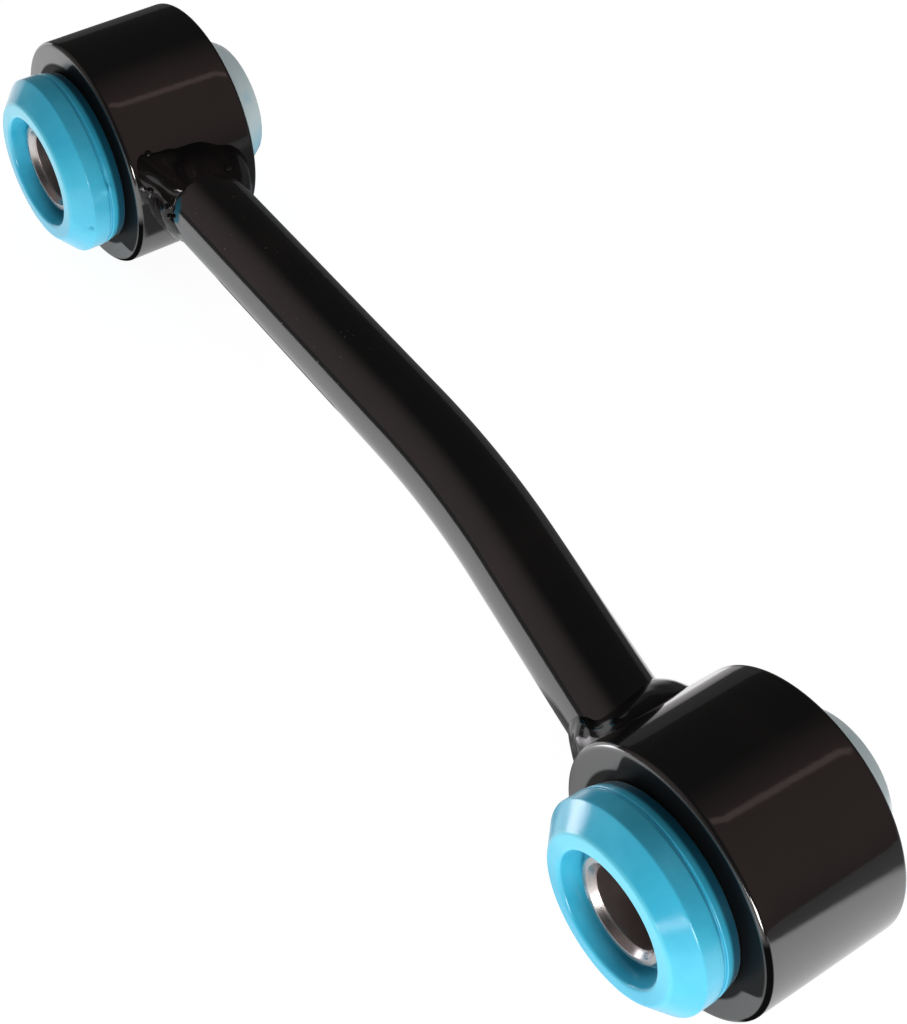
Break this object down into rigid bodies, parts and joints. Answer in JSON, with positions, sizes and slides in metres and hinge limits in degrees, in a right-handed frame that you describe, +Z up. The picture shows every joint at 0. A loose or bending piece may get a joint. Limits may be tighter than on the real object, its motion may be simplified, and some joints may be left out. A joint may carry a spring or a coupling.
{
  "type": "stabilizer link",
  "caption": "Bent-bar stabilizer link with a welded eye tube at each end, two-piece bushes with a flanged front and a lipped back half, and free-turning crush sleeves for the bolts.",
  "frame": {"origin": "middle of the upper eye, on the axis of its sleeve bore and half way along it", "axes": "+X from the upper eye towards the lower eye, square to the eye axes; +Y along the eye axes, away from the picture's near side; +Z up with the link lying on its side as in the picture"},
  "size_m": [0.2124, 0.0488, 0.0404],
  "materials": {
    "black_paint": "gloss black powder coat over steel",
    "blue_bush": "semi-gloss moulded polyurethane, light blue",
    "sleeve_steel": "bright turned steel"
  },
  "bodies": {
    "link": {"link_bar": "black_paint", "upper_eye": "black_paint", "lower_eye": "black_paint", "upper_weld": "black_paint", "lower_weld": "black_paint", "upper_bush_front": "blue_bush", "upper_bush_back": "blue_bush", "lower_bush_front": "blue_bush", "lower_bush_back": "blue_bush"},
    "upper_pivot": {"upper_sleeve": "sleeve_steel"},
    "lower_pivot": {"lower_sleeve": "sleeve_steel"}
  },
  "joints": [
    {"name": "upper_sleeve_turn", "type": "hinge", "parent": "link", "child": "upper_pivot", "pos_m": [0, 0, 0], "axis": [0, 1, 0], "continuous": true},
    {"name": "lower_sleeve_turn", "type": "hinge", "parent": "link", "child": "lower_pivot", "pos_m": [0.172, -0.0085, 0], "axis": [0, 1, 0], "continuous": true}
  ]
}
